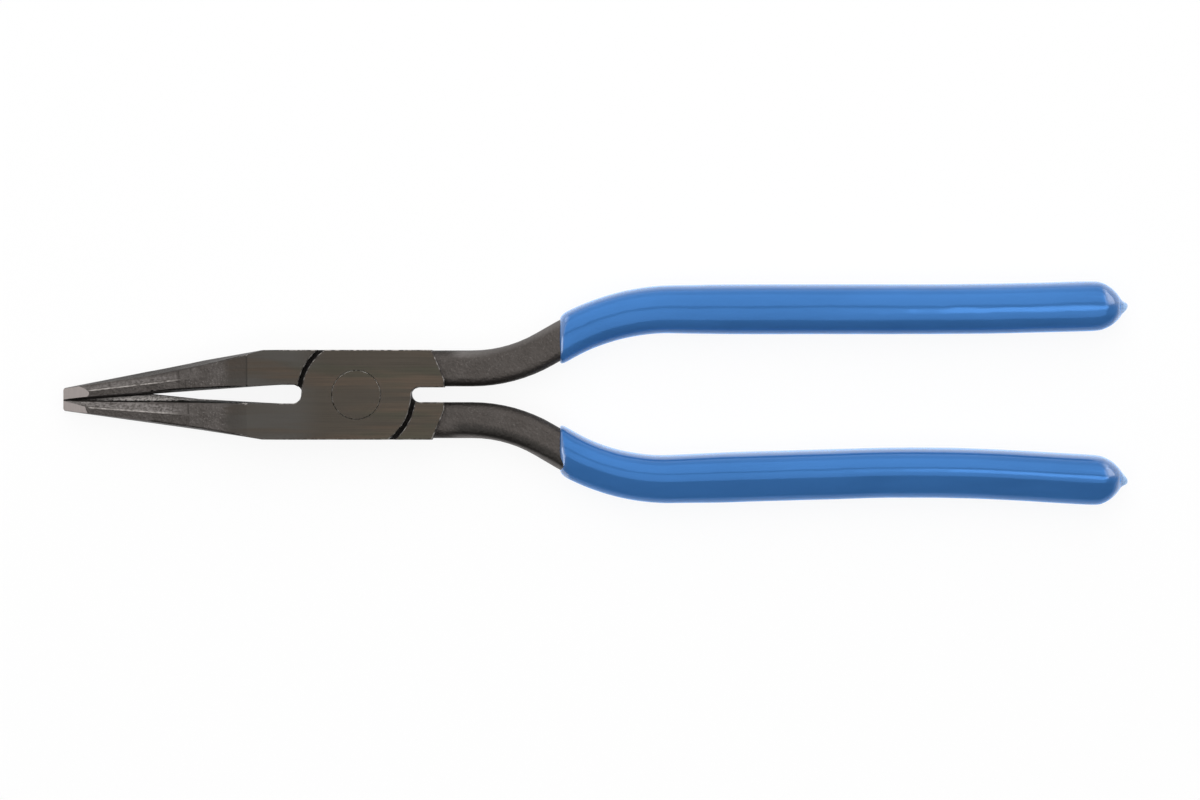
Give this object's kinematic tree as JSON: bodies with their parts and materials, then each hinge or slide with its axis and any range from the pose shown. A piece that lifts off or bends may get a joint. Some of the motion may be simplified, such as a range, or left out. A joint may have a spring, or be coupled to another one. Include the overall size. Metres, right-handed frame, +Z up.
{
  "type": "long-nose pliers",
  "caption": "Slim long-nose pliers: crossing forged halves in a flush-riveted lap joint, tapering jaws that close at the tips, and handles in glossy dipped grips.",
  "frame": {"origin": "on the pivot axis, at the lower ground face of the lap joint, which the closed tool rests on", "axes": "+X from the pivot along the handles, with the jaws towards -X; +Y towards the front half's handle; +Z up, along the pivot axis"},
  "size_m": [0.2399, 0.0505, 0.011],
  "materials": {
    "forged_steel": "blackened forged steel with ground joint faces and bare ground tips",
    "rivet_steel": "ground flush with the joint faces",
    "blue_pvc": "glossy dip-moulded PVC"
  },
  "bodies": {
    "rear_half": {"rear_half": "forged_steel", "pivot_rivet": "rivet_steel", "lower_grip": "blue_pvc"},
    "front_half": {"front_half": "forged_steel", "upper_grip": "blue_pvc"}
  },
  "joints": [
    {"name": "jaw_pivot", "type": "hinge", "parent": "rear_half", "child": "front_half", "pos_m": [0, 0, 0.0055], "axis": [0, 0, 1], "range_deg": [0, 75]}
  ]
}
